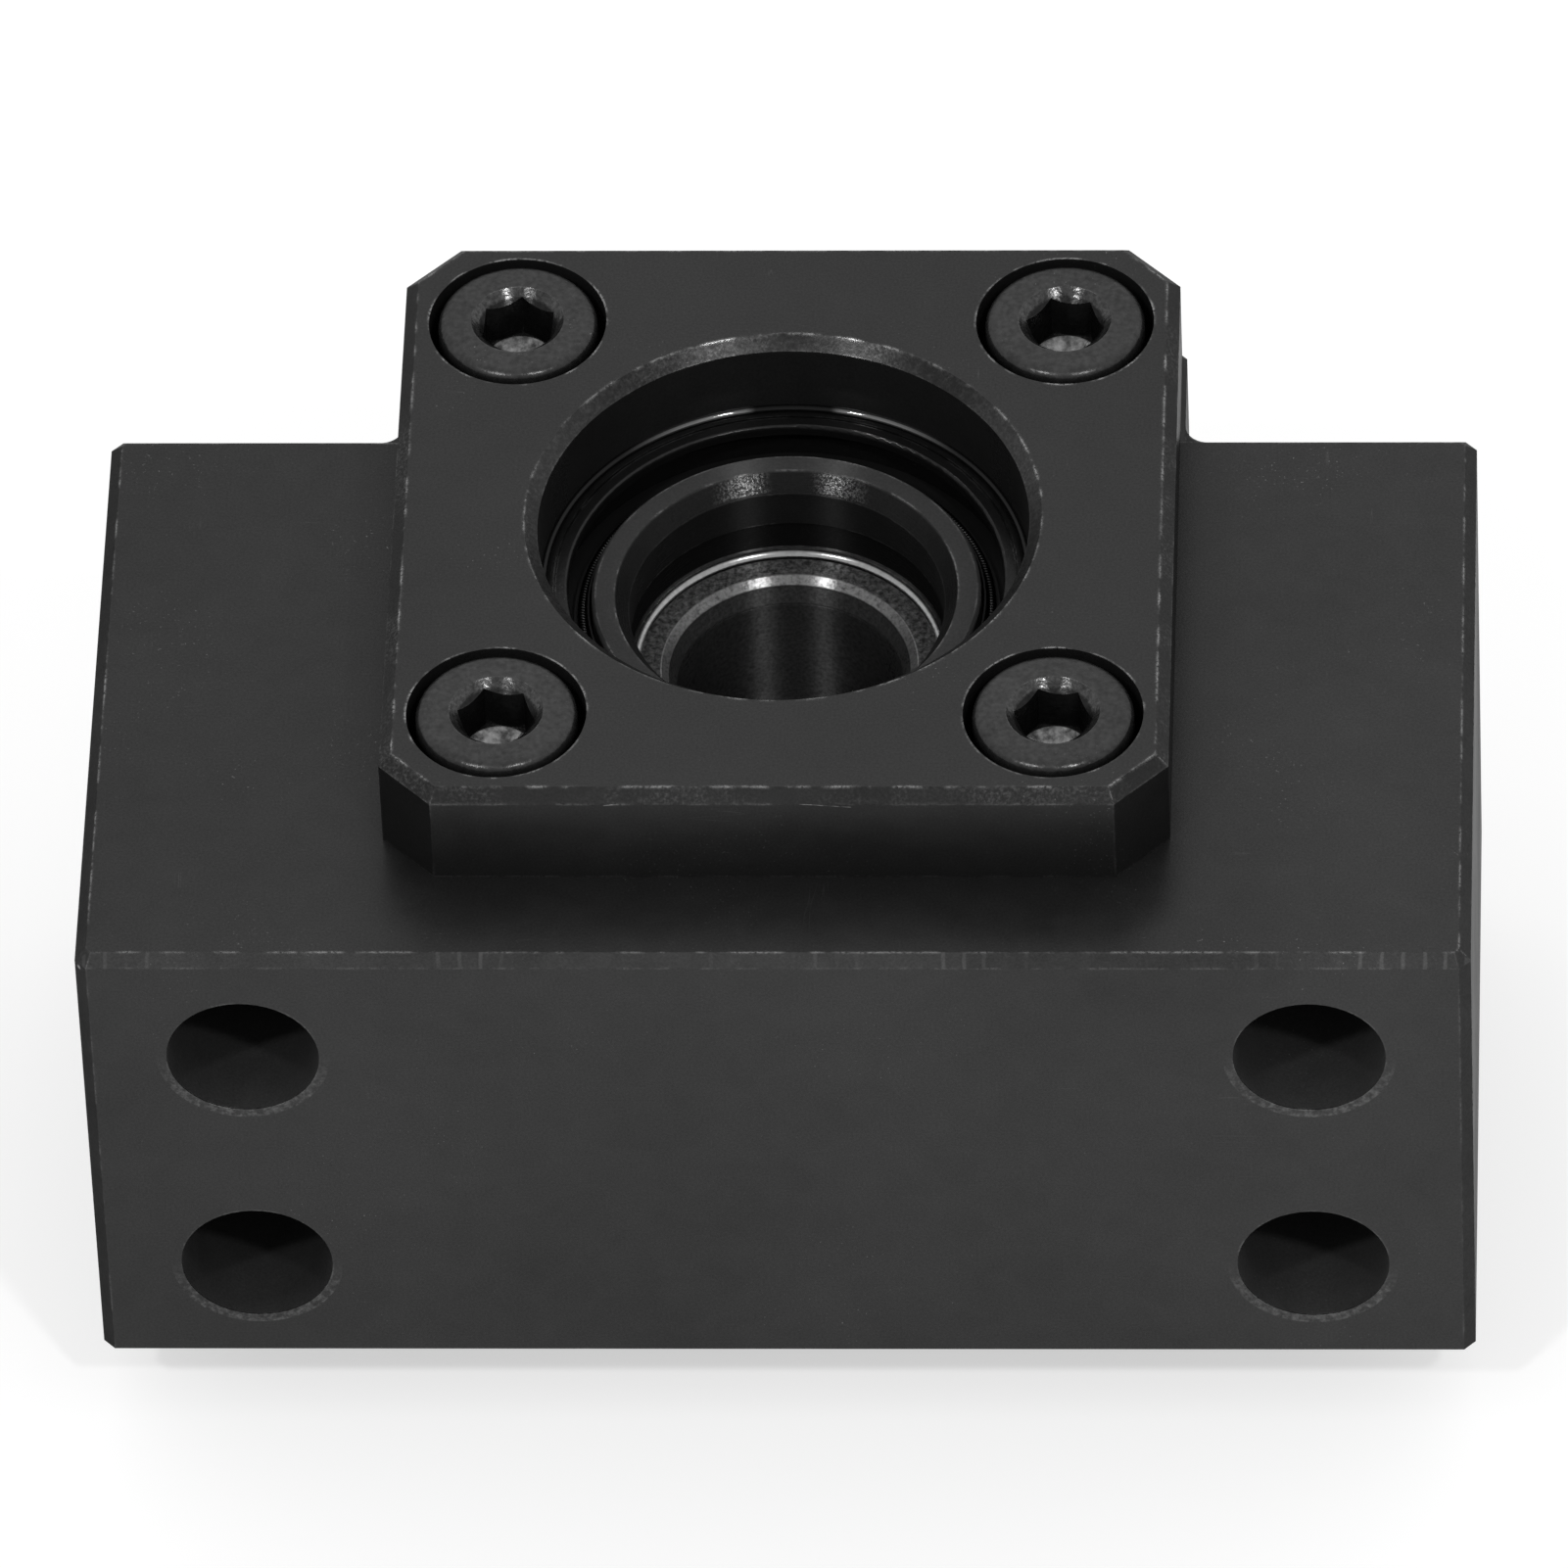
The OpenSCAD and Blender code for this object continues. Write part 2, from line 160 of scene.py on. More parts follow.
def newGroup(name, inputs, outputs):
    tree = bpy.data.node_groups.new(name, "ShaderNodeTree")
    for label, value in inputs.items():
        kind = "NodeSocketFloat" if isinstance(value, float) else "NodeSocketVector"
        socket = tree.interface.new_socket(name=label, in_out="INPUT", socket_type=kind)
        socket.default_value = value
    for label in outputs:
        tree.interface.new_socket(name=label, in_out="OUTPUT", socket_type="NodeSocketFloat")
    start = addNode(tree, "NodeGroupInput", (-6, 0))
    end = addNode(tree, "NodeGroupOutput", (8, 0))
    return tree, start.outputs, end.inputs


def useGroup(tree, group, place, **values):
    node = addNode(tree, "ShaderNodeGroup", place)
    node.node_tree = group
    for label, value in values.items():
        feed(tree, node.inputs[label], value)
    return node.outputs


def grey(value):
    return (value, value, value, 1.0)


# effects that several materials share

wearShape = {"bend": (0.003, 0.06), "upward": (0.5, 0.85, 0.25, 1.0), "patches": (0.42, 0.66),
             "fineScale": 7000.0, "fine": (0.3, 0.55)}


def makeEdgeWear():
    # bare metal where an edge is rubbed, broken up by noise; edges that look up are rubbed most
    tree, start, end = newGroup("edgeWear", {"Radius": 0.1, "Amount": 1.0, "Patch": 900.0}, ["Mask"])
    bevel = addNode(tree, "ShaderNodeBevel", (-4, 1), samples=6)
    radius = mathNode(tree, "MULTIPLY", (-5, 1), start["Radius"], mm)
    tree.links.new(radius, bevel.inputs["Radius"])
    rounded = bevel.outputs[0]
    dot = vectorNode(tree, "DOT_PRODUCT", (-3, 1), rounded, faceNormal(tree, (-4, 3)))
    bend = mathNode(tree, "SUBTRACT", (-2, 1), 1.0, dot)
    edge = mapRange(tree, (-1, 1), bend, *wearShape["bend"])
    upward = mapRange(tree, (-1, 3), splitVector(tree, (-3, 3), rounded)["Z"], *wearShape["upward"])
    place = objectPlace(tree, (-5, -2))
    coarse = noiseNode(tree, (-3, -1), place, start["Patch"], Detail=3.0)
    fine = noiseNode(tree, (-3, -2.5), place, wearShape["fineScale"])
    patches = mapRange(tree, (0, -1), coarse, *wearShape["patches"])
    speckle = mapRange(tree, (0, -2.5), fine, *wearShape["fine"])
    broken = mathNode(tree, "MULTIPLY", (1, -1), patches, speckle)
    rubbed = mathNode(tree, "MULTIPLY", (1, 1), edge, upward)
    worn = mathNode(tree, "MULTIPLY", (2, 0), rubbed, broken)
    mask = mathNode(tree, "MULTIPLY", (3, 0), worn, start["Amount"], clamp=True)
    tree.links.new(mask, end["Mask"])
    return tree


smudgeShape = {"finer": 9.0, "fineShare": 0.45, "gloss": 0.25}


def makeSmudge():
    # slow change of tone from handling and from the blackening bath
    tree, start, end = newGroup("smudge", {"Scale": 90.0, "Depth": 0.1}, ["Tone", "Gloss"])
    place = objectPlace(tree, (-5, 0))
    finer = mathNode(tree, "MULTIPLY", (-4, 2), start["Scale"], smudgeShape["finer"])
    broad = noiseNode(tree, (-3, 0), place, start["Scale"], Detail=4.0, Roughness=0.6)
    close = noiseNode(tree, (-3, 2), place, finer, Detail=5.0, Distortion=0.6)
    swing = mathNode(tree, "SUBTRACT", (-1, 0), broad, 0.5)
    ripple = mathNode(tree, "SUBTRACT", (-1, 2), close, 0.5)
    share = mathNode(tree, "MULTIPLY", (0, 2), ripple, smudgeShape["fineShare"])
    both = mathNode(tree, "ADD", (1, 1), swing, share)
    scaled = mathNode(tree, "MULTIPLY", (2, 1), both, start["Depth"])
    tree.links.new(mathNode(tree, "ADD", (3, 1), scaled, 1.0), end["Tone"])
    tree.links.new(mathNode(tree, "MULTIPLY", (3, 2), both, smudgeShape["gloss"]), end["Gloss"])
    return tree


hairSettings = {
    "kept": (0.68, 0.76),
    "layers": [
        {"turn": (0.1, 0.3, 0.5), "stretch": (1.0, 45.0, 45.0), "shift": 0.0, "patchScale": 330.0},
        {"turn": (0.2, 1.3, 2.1), "stretch": (45.0, 1.0, 45.0), "shift": 3.7, "patchScale": 420.0},
    ],
}


def makeScratches():
    # sparse hairlines: thin level lines of stretched noise, kept only in patches
    tree, start, end = newGroup("scratches", {"Scale": 60.0, "Width": 0.004, "Amount": 1.0}, ["Mask"])
    place = objectPlace(tree, (-6, 2))
    marks = []
    for row, layer in enumerate(hairSettings["layers"]):
        mapping = addNode(tree, "ShaderNodeMapping", (-4, row * 3))
        mapping.inputs["Rotation"].default_value = layer["turn"]
        mapping.inputs["Scale"].default_value = layer["stretch"]
        mapping.inputs["Location"].default_value = [layer["shift"]] * 3
        tree.links.new(place, mapping.inputs["Vector"])
        line = noiseNode(tree, (-3, row * 3), mapping.outputs["Vector"], start["Scale"], Detail=0.0)
        away = mathNode(tree, "SUBTRACT", (-2, row * 3), line, 0.5)
        near = mathNode(tree, "ABSOLUTE", (-1, row * 3), away)
        hair = mapRange(tree, (0, row * 3), near, 0.0, start["Width"], 1.0, 0.0)
        patch = noiseNode(tree, (-3, row * 3 + 1.5), place, layer["patchScale"], Detail=1.0)
        kept = mapRange(tree, (0, row * 3 + 1.5), patch, *hairSettings["kept"])
        marks.append(mathNode(tree, "MULTIPLY", (1, row * 3), hair, kept))
    found = mathNode(tree, "MAXIMUM", (2, 3), *marks)
    mask = mathNode(tree, "MULTIPLY", (4, 0), found, start["Amount"], clamp=True)
    tree.links.new(mask, end["Mask"])
    return tree


def makeGrain():
    # fine tooth of blackened steel
    tree, start, end = newGroup("grain", {"Scale": 9000.0, "Contrast": 0.1}, ["Height", "Tone"])
    noise = noiseNode(tree, (-3, 0), objectPlace(tree, (-5, 0)), start["Scale"])
    tree.links.new(noise, end["Height"])
    tree.links.new(swingAboutOne(tree, (-1, 1), noise, start["Contrast"]), end["Tone"])
    return tree


speckShape = {"points": (0.68, 0.84), "patches": (0.5, 0.75, 0.1, 1.0)}


def makeSpecks():
    # bright pinpoints where the skin is broken, thick in some patches and missing in others
    tree, start, end = newGroup("specks", {"Scale": 8500.0, "Amount": 1.0, "Patch": 160.0}, ["Mask"])
    place = objectPlace(tree, (-5, 0))
    fine = noiseNode(tree, (-3, 0), place, start["Scale"], Detail=1.0)
    coarse = noiseNode(tree, (-3, 2), place, start["Patch"], Detail=3.0)
    points = mapRange(tree, (-1, 0), fine, *speckShape["points"])
    patches = mapRange(tree, (-1, 2), coarse, *speckShape["patches"])
    both = mathNode(tree, "MULTIPLY", (1, 0), points, patches)
    mask = mathNode(tree, "MULTIPLY", (3, 0), both, start["Amount"], clamp=True)
    tree.links.new(mask, end["Mask"])
    return tree


def makeTurning():
    # tool marks of a part turned about the shaft axis: rings on its ends, feed lines in its bores
    tree, start, end = newGroup("turning", {"Pitch": 0.1, "Length": 3.0}, ["Height"])
    place = splitVector(tree, (-5, 0), objectPlace(tree, (-6, 0)))
    squareX = mathNode(tree, "MULTIPLY", (-4, 0), place["X"], place["X"])
    squareY = mathNode(tree, "MULTIPLY", (-4, 1), place["Y"], place["Y"])
    radius = mathNode(tree, "SQRT", (-2, 0), mathNode(tree, "ADD", (-3, 0), squareX, squareY))
    along = mathNode(tree, "ADD", (-1, 0), radius, place["Z"])
    pitch = mathNode(tree, "MULTIPLY", (-2, 2), start["Pitch"], mm)
    cosine = mathNode(tree, "DIVIDE", (-1, 1), place["X"], radius)
    sine = mathNode(tree, "DIVIDE", (-1, 2), place["Y"], radius)
    vector = addNode(tree, "ShaderNodeCombineXYZ", (1, 0))
    tree.links.new(mathNode(tree, "DIVIDE", (0, 0), along, pitch), vector.inputs["X"])
    tree.links.new(mathNode(tree, "MULTIPLY", (0, 1), cosine, start["Length"]), vector.inputs["Y"])
    tree.links.new(mathNode(tree, "MULTIPLY", (0, 2), sine, start["Length"]), vector.inputs["Z"])
    tree.links.new(noiseNode(tree, (2, 0), vector.outputs[0], 1.0), end["Height"])
    return tree


def makeRingZone():
    # a band round an axis, from one radius to another and from one station to another, in millimetres
    inputs = {"Across": 0.0, "Up": 0.0, "Along": 0.0, "Inner": 0.0, "Outer": 1.0, "Low": 0.0, "High": 1.0,
              "Soft": 0.04}
    tree, start, end = newGroup("ringZone", inputs, ["Mask"])
    squareA = mathNode(tree, "MULTIPLY", (-5, 0), start["Across"], start["Across"])
    squareU = mathNode(tree, "MULTIPLY", (-5, 1), start["Up"], start["Up"])
    radius = mathNode(tree, "SQRT", (-3, 0), mathNode(tree, "ADD", (-4, 0), squareA, squareU))
    limits = [(radius, "Inner", 1.0), (radius, "Outer", -1.0),
              (start["Along"], "Low", 1.0), (start["Along"], "High", -1.0)]
    mask = None
    for row, (value, edge, sign) in enumerate(limits):
        past = mathNode(tree, "SUBTRACT", (-2, row), value, start[edge])
        steep = mathNode(tree, "DIVIDE", (-1, row), past, start["Soft"])
        signed = mathNode(tree, "MULTIPLY", (0, row), steep, sign)
        inside = mathNode(tree, "ADD", (1, row), signed, 0.5, clamp=True)
        mask = inside if mask is None else mathNode(tree, "MULTIPLY", (2, row), mask, inside)
    tree.links.new(mask, end["Mask"])
    return tree


def makeStroke():
    # one scratch between two points, in millimetres
    inputs = {"From": (0.0, 0.0, 0.0), "To": (1.0, 0.0, 0.0), "Width": 0.03}
    tree, start, end = newGroup("stroke", inputs, ["Mask"])
    place = objectPlace(tree, (-6, 3))
    point = vectorNode(tree, "SCALE", (-5, 3), place, 1 / mm)
    run = vectorNode(tree, "SUBTRACT", (-4, 0), start["To"], start["From"])
    reach = vectorNode(tree, "SUBTRACT", (-4, 1), point, start["From"])
    along = vectorNode(tree, "DOT_PRODUCT", (-3, 0), reach, run)
    length = vectorNode(tree, "DOT_PRODUCT", (-3, 1), run, run)
    share = mathNode(tree, "DIVIDE", (-2, 0), along, length, clamp=True)
    foot = vectorNode(tree, "SCALE", (-1, 0), run, share)
    away = vectorNode(tree, "DISTANCE", (0, 0), reach, foot)
    noise = noiseNode(tree, (-3, 4), place, 3500.0)
    ragged = mathNode(tree, "MULTIPLY", (0, 3), noise, start["Width"])
    twice = mathNode(tree, "MULTIPLY", (1, 3), ragged, 2.0)
    tree.links.new(mapRange(tree, (2, 0), away, 0.0, twice, 1.0, 0.0), end["Mask"])
    return tree


edgeWear = makeEdgeWear()
smudge = makeSmudge()
scratches = makeScratches()
grain = makeGrain()
specks = makeSpecks()
turning = makeTurning()
ringZone = makeRingZone()
stroke = makeStroke()
print("shared effects built")


# materials

def newMaterial(name):
    material = bpy.data.materials.new(name)
    material.use_nodes = True
    tree = material.node_tree
    shader = tree.nodes["Principled BSDF"]
    shader.location = (1400, 0)
    tree.nodes["Material Output"].location = (1750, 0)
    return material, tree, shader


def addBump(tree, shader, height, distance):
    bump = addNode(tree, "ShaderNodeBump", (5, 3))
    bump.inputs["Strength"].default_value = 1.0
    bump.inputs["Distance"].default_value = distance * mm
    tree.links.new(height, bump.inputs["Height"])
    tree.links.new(bump.outputs[0], shader.inputs["Normal"])


def placeOf(tree, look):
    # object coordinates in millimetres, folded so that one set of bands serves all like holes
    split = splitVector(tree, (-8, 9), objectPlace(tree, (-9, 9)))
    place = []
    for row, (axis, (middle, fold)) in enumerate(zip(look["axes"], look["folds"])):
        value = mathNode(tree, "DIVIDE", (-7, 9 + row), split[axis], mm)
        value = mathNode(tree, "SUBTRACT", (-6, 9 + row), value, middle)
        if fold:
            value = mathNode(tree, "ABSOLUTE", (-5, 9 + row), value)
            value = mathNode(tree, "SUBTRACT", (-4, 9 + row), value, fold)
        place.append(value)
    return place, split


def noiseMask(tree, place, scale, low, high):
    vector = objectPlace(tree, (place[0] - 2, place[1]))
    noise = noiseNode(tree, (place[0] - 1, place[1]), vector, scale, Detail=3.0, Roughness=0.65)
    return mapRange(tree, place, noise, low, high)


zoneFades = {"upper": (0.0, 1.0), "under": (-2.4, 0.4)}


def paintedHighlightPatches(tree, row, place, reach):
    # painted highlights: two patches, one on each side of the middle, on the far half of the ring
    start, full, ebb, stop = reach
    beside = mathNode(tree, "ABSOLUTE", (-5, row), place[0])
    near = mapRange(tree, (-4, row), beside, start, full)
    far = mapRange(tree, (-4, row + 0.5), beside, ebb, stop, 1.0, 0.0)
    both = mathNode(tree, "MULTIPLY", (-3, row), near, far)
    upper = mapRange(tree, (-4, row + 1), place[1], *zoneFades["upper"])
    return mathNode(tree, "MULTIPLY", (-2.5, row), both, upper)


def underMask(tree, row, place, split, middle):
    # only below the middle of each ring, whichever row of holes it stands in; there the rubbed rim is also
    # a painted highlight
    above = mathNode(tree, "SUBTRACT", (-5, row), split["Z"], middle * mm)
    side = mathNode(tree, "SIGN", (-4, row), above)
    offset = mathNode(tree, "MULTIPLY", (-3, row), side, place[1])
    return mapRange(tree, (-2, row), offset, *zoneFades["under"], 1.0, 0.0)


def applyZones(tree, look, place, split, tone, rough, bareAndHighlight):
    # bands of the piece that were cut or rubbed otherwise than the rest, and bands of painted light,
    # painted shade and painted highlights
    for count, zone in enumerate(look["zones"]):
        row = 9 + 2 * count
        limits = {label: zone[label.lower()] for label in ("Inner", "Outer", "Low", "High")}
        band = useGroup(tree, ringZone, (-3, row), Across=place[0], Up=place[1], Along=place[2],
                        **limits)["Mask"]
        # a zone with beside keeps only its two patches of painted highlight
        if "beside" in zone:
            kept = paintedHighlightPatches(tree, row + 1, place, zone["beside"])
            band = mathNode(tree, "MULTIPLY", (-2, row + 1), band, kept)
        if "under" in zone:
            kept = underMask(tree, row + 1, place, split, zone["under"])
            band = mathNode(tree, "MULTIPLY", (-1, row + 1), band, kept)
        # a zone's tone is painted light above one and painted shade below one
        if "tone" in zone:
            shade = mapRange(tree, (-2, row), band, 0.0, 1.0, 1.0, zone["tone"], smooth=False)
            tone = mathNode(tree, "MULTIPLY", (-1, row), tone, shade)
        if "gloss" in zone:
            lift = mathNode(tree, "MULTIPLY", (0, row), band, zone["gloss"])
            rough = mathNode(tree, "SUBTRACT", (1, row), rough, lift)
        if "bareAndHighlight" in zone:
            share = mathNode(tree, "MULTIPLY", (0, row + 1), band, zone["bareAndHighlight"])
            if "patch" in zone:
                broken = noiseMask(tree, (-1, row + 1), zone["patch"], zone["least"], zone["most"])
                share = mathNode(tree, "MULTIPLY", (1, row + 1), share, broken)
            bareAndHighlight = mathNode(tree, "MAXIMUM", (2, row + 1), bareAndHighlight, share)
        if "keepClean" in zone:
            clean = mathNode(tree, "SUBTRACT", (0, row), 1.0, band)
            bareAndHighlight = mathNode(tree, "MULTIPLY", (1, row), bareAndHighlight, clean)
    return tone, rough, bareAndHighlight


# where a face leans half over, by the Z of its normal, and where it looks to the front, by the Y
bevelFades = {"past": (0.9, 0.8), "short": (0.5, 0.6), "frontward": (-0.3, -0.6)}


def applyBevel(tree, bevel, tone, bareAndHighlight):
    # faces that lean half over: painted shade darkens them towards the front, and scuffs in patches are
    # rubbed wear
    lean = splitVector(tree, (-3, -1.5), faceNormal(tree, (-4, -1.5)))
    past = mapRange(tree, (-2, -1.5), lean["Z"], *bevelFades["past"])
    short = mapRange(tree, (-2, -2), lean["Z"], *bevelFades["short"])
    leaning = mathNode(tree, "MULTIPLY", (-1, -2), past, short)
    frontward = mapRange(tree, (-2, -2.5), lean["Y"], *bevelFades["frontward"])
    front = mathNode(tree, "MULTIPLY", (-1, -2.5), leaning, frontward)
    shade = mapRange(tree, (0, -2), front, 0.0, 1.0, 1.0, bevel["tone"], smooth=False)
    tone = mathNode(tree, "MULTIPLY", (1, -2), tone, shade)
    fine = noiseMask(tree, (-1, -12), bevel["scale"], *bevel["points"])
    coarse = noiseMask(tree, (-1, -14), bevel["patchScale"], *bevel["patches"])
    broken = mathNode(tree, "MULTIPLY", (0, -13), fine, coarse)
    rubbed = mathNode(tree, "MULTIPLY", (0, -12), broken, leaning)
    rubbed = mathNode(tree, "MULTIPLY", (1, -12), rubbed, bevel["amount"])
    return tone, mathNode(tree, "MAXIMUM", (2, -12), bareAndHighlight, rubbed)


def chatter(tree, split, shape):
    # tool chatter across the bevel between the base and the front of the housing
    base, front, soft = (shape[key] * mm for key in ("base", "front", "soft"))
    low = mapRange(tree, (-3, 20), split["Y"], base, base + soft, 1.0, 0.0)
    high = mapRange(tree, (-3, 21), split["Z"], front - soft, front)
    turn = mathNode(tree, "MULTIPLY", (-3, 22), split["X"], 2 * pi / (shape["pitch"] * mm))
    bend = noiseMask(tree, (-4, 23), shape["swayScale"], *shape["bends"])
    sway = mathNode(tree, "MULTIPLY", (-3, 23), bend, shape["sway"])
    wave = mathNode(tree, "SINE", (-1, 22), mathNode(tree, "ADD", (-2, 22), turn, sway))
    ridge = mapRange(tree, (0, 22), wave, shape["ridge"], 1.0)
    patch = noiseMask(tree, (0, 24), shape["patchScale"], *shape["patches"])
    mask = mathNode(tree, "MULTIPLY", (1, 20), low, high)
    mask = mathNode(tree, "MULTIPLY", (2, 20), mask, ridge)
    mask = mathNode(tree, "MULTIPLY", (3, 20), mask, patch)
    return mathNode(tree, "MULTIPLY", (4, 20), mask, shape["amount"])


def blackenedSteel(name, look):
    # steel with a black oxide skin that is rubbed through along its edges
    material, tree, shader = newMaterial(name)
    shader.inputs["Specular IOR Level"].default_value = look["specular"]
    shader.inputs["Specular Tint"].default_value = grey(look["rim"])
    shader.inputs["Anisotropic"].default_value = look["anisotropy"]
    if look["anisotropy"]:
        shader.inputs["Anisotropic Rotation"].default_value = 0.25  # a quarter turn
        tangent = addNode(tree, "ShaderNodeTangent", (4, 5), direction_type="RADIAL", axis="Z")
        tree.links.new(tangent.outputs[0], shader.inputs["Tangent"])
    haze = useGroup(tree, smudge, (-3, 0), Scale=look["smudgeScale"], Depth=look["smudgeDepth"])
    tooth = useGroup(tree, grain, (-3, 1.5), Scale=look["grainScale"], Contrast=look["grainContrast"])
    worn = useGroup(tree, edgeWear, (-3, 3), Radius=look["wearRadius"], Amount=look["wearAmount"],
                    Patch=look["wearPatch"])
    hair = useGroup(tree, scratches, (-3, 4.5), Scale=look["scratchScale"], Width=look["scratchWidth"],
                    Amount=look["scratchAmount"])
    points = useGroup(tree, specks, (-3, 7.5), Amount=look["speckAmount"])
    tone = mathNode(tree, "MULTIPLY", (-2, 0), haze["Tone"], tooth["Tone"])
    bareAndHighlight = mathNode(tree, "MAXIMUM", (-2, 3), hair["Mask"], points["Mask"])
    rough = mathNode(tree, "ADD", (-2, 2), haze["Gloss"], look["roughness"])
    place, split = placeOf(tree, look)
    tone, rough, bareAndHighlight = applyZones(tree, look, place, split, tone, rough, bareAndHighlight)
    bareAndHighlight = mathNode(tree, "MAXIMUM", (3, 3), bareAndHighlight, worn["Mask"])
    for count, (first, last, width, amount) in enumerate(look["strokes"]):
        row = -3 - 1.5 * count
        mark = useGroup(tree, stroke, (-3, row), From=first, To=last, Width=width)["Mask"]
        bareAndHighlight = mathNode(tree, "MAXIMUM", (3, row), bareAndHighlight, mathNode(tree, "MULTIPLY", (2, row), mark, amount))
    if look.get("chatter"):
        bareAndHighlight = mathNode(tree, "MAXIMUM", (3, 4), bareAndHighlight, chatter(tree, split, look["chatter"]))
    if look.get("bevel"):
        tone, bareAndHighlight = applyBevel(tree, look["bevel"], tone, bareAndHighlight)
    # painted light: the tone rises from one side of the part to the other, brighter towards +X
    if look.get("paintedSideLight"):
        slope = mapRange(tree, (-1, -1), split["X"], cadBox[0].x, cadBox[1].x, *look["paintedSideLight"], smooth=False)
        tone = mathNode(tree, "MULTIPLY", (0, -1), tone, slope)
    skin = mixColor(tree, (4, 0), 1.0, grey(look["skin"]), tone, blend="MULTIPLY")
    raw = mixColor(tree, (4, 1), 1.0, grey(look["bareAndHighlight"]), tooth["Tone"], blend="MULTIPLY")
    tree.links.new(mixColor(tree, (5, 0), bareAndHighlight, skin, raw), shader.inputs["Base Color"])
    metal = mapRange(tree, (5, 1), bareAndHighlight, 0.0, 1.0, look["metallic"], 1.0, smooth=False)
    tree.links.new(metal, shader.inputs["Metallic"])
    polish = mathNode(tree, "MULTIPLY", (4, 2), bareAndHighlight, look["bareGloss"])
    rough = mathNode(tree, "SUBTRACT", (5, 2), rough, polish, clamp=True)
    tree.links.new(rough, shader.inputs["Roughness"])
    height = tooth["Height"]
    if look.get("turned"):
        marks = useGroup(tree, turning, (-3, 6), Pitch=look["turned"], Length=look["turnedLength"])
        lines = mathNode(tree, "MULTIPLY", (-1, 6), marks["Height"], look["turnedDepth"])
        height = mathNode(tree, "ADD", (1, 6), height, lines)
    addBump(tree, shader, height, look["bump"])
    return material


# A zone is a band between two radii round each axis, from a low station to a high one. Its tone is painted
# light where above one and painted shade where below one, and gloss changes it; the bare share rubs its
# skin through; beside keeps two patches of it, which are painted highlights, and under keeps its lower
# half, a rubbed rim that is also a painted highlight; keepClean holds rubbing off. A stroke has two ends, a
# width and an amount. Lengths are in millimetres, in the frame of the whole part, and the scales of noise
# are per metre.
shaftAxis = {"axes": "XYZ", "folds": [(0.0, 0.0), (0.0, 0.0), (0.0, 0.0)]}
screwAxes = {"axes": "XYZ", "folds": [(0.0, 12.0), (0.0, 12.0), (0.0, 0.0)]}
boltAxes = {"axes": "XZY", "folds": [(0.0, 23.0), (12.5, 6.5), (0.0, 0.0)]}
plainLook = {
    "metallic": 0.8, "specular": 0.05, "rim": 0.3, "anisotropy": 0.0,
    "skin": 0.046, "bareAndHighlight": 0.4, "roughness": 0.35, "bareGloss": 0.12,
    "smudgeScale": 70.0, "smudgeDepth": 0.35,
    "grainScale": 9000.0, "grainContrast": 0.55, "bump": 0.004,
    "wearRadius": 0.16, "wearAmount": 0.75, "wearPatch": 900.0,
    "scratchScale": 60.0, "scratchWidth": 0.01, "scratchAmount": 0.05,
    "speckAmount": 0.45, "zones": [], "strokes": [], **shaftAxis,
}
turnedLook = dict(plainLook, anisotropy=1.0, roughness=0.5, turned=0.05, turnedLength=2.0, turnedDepth=2.0,
                  speckAmount=0.1, scratchAmount=0.0)
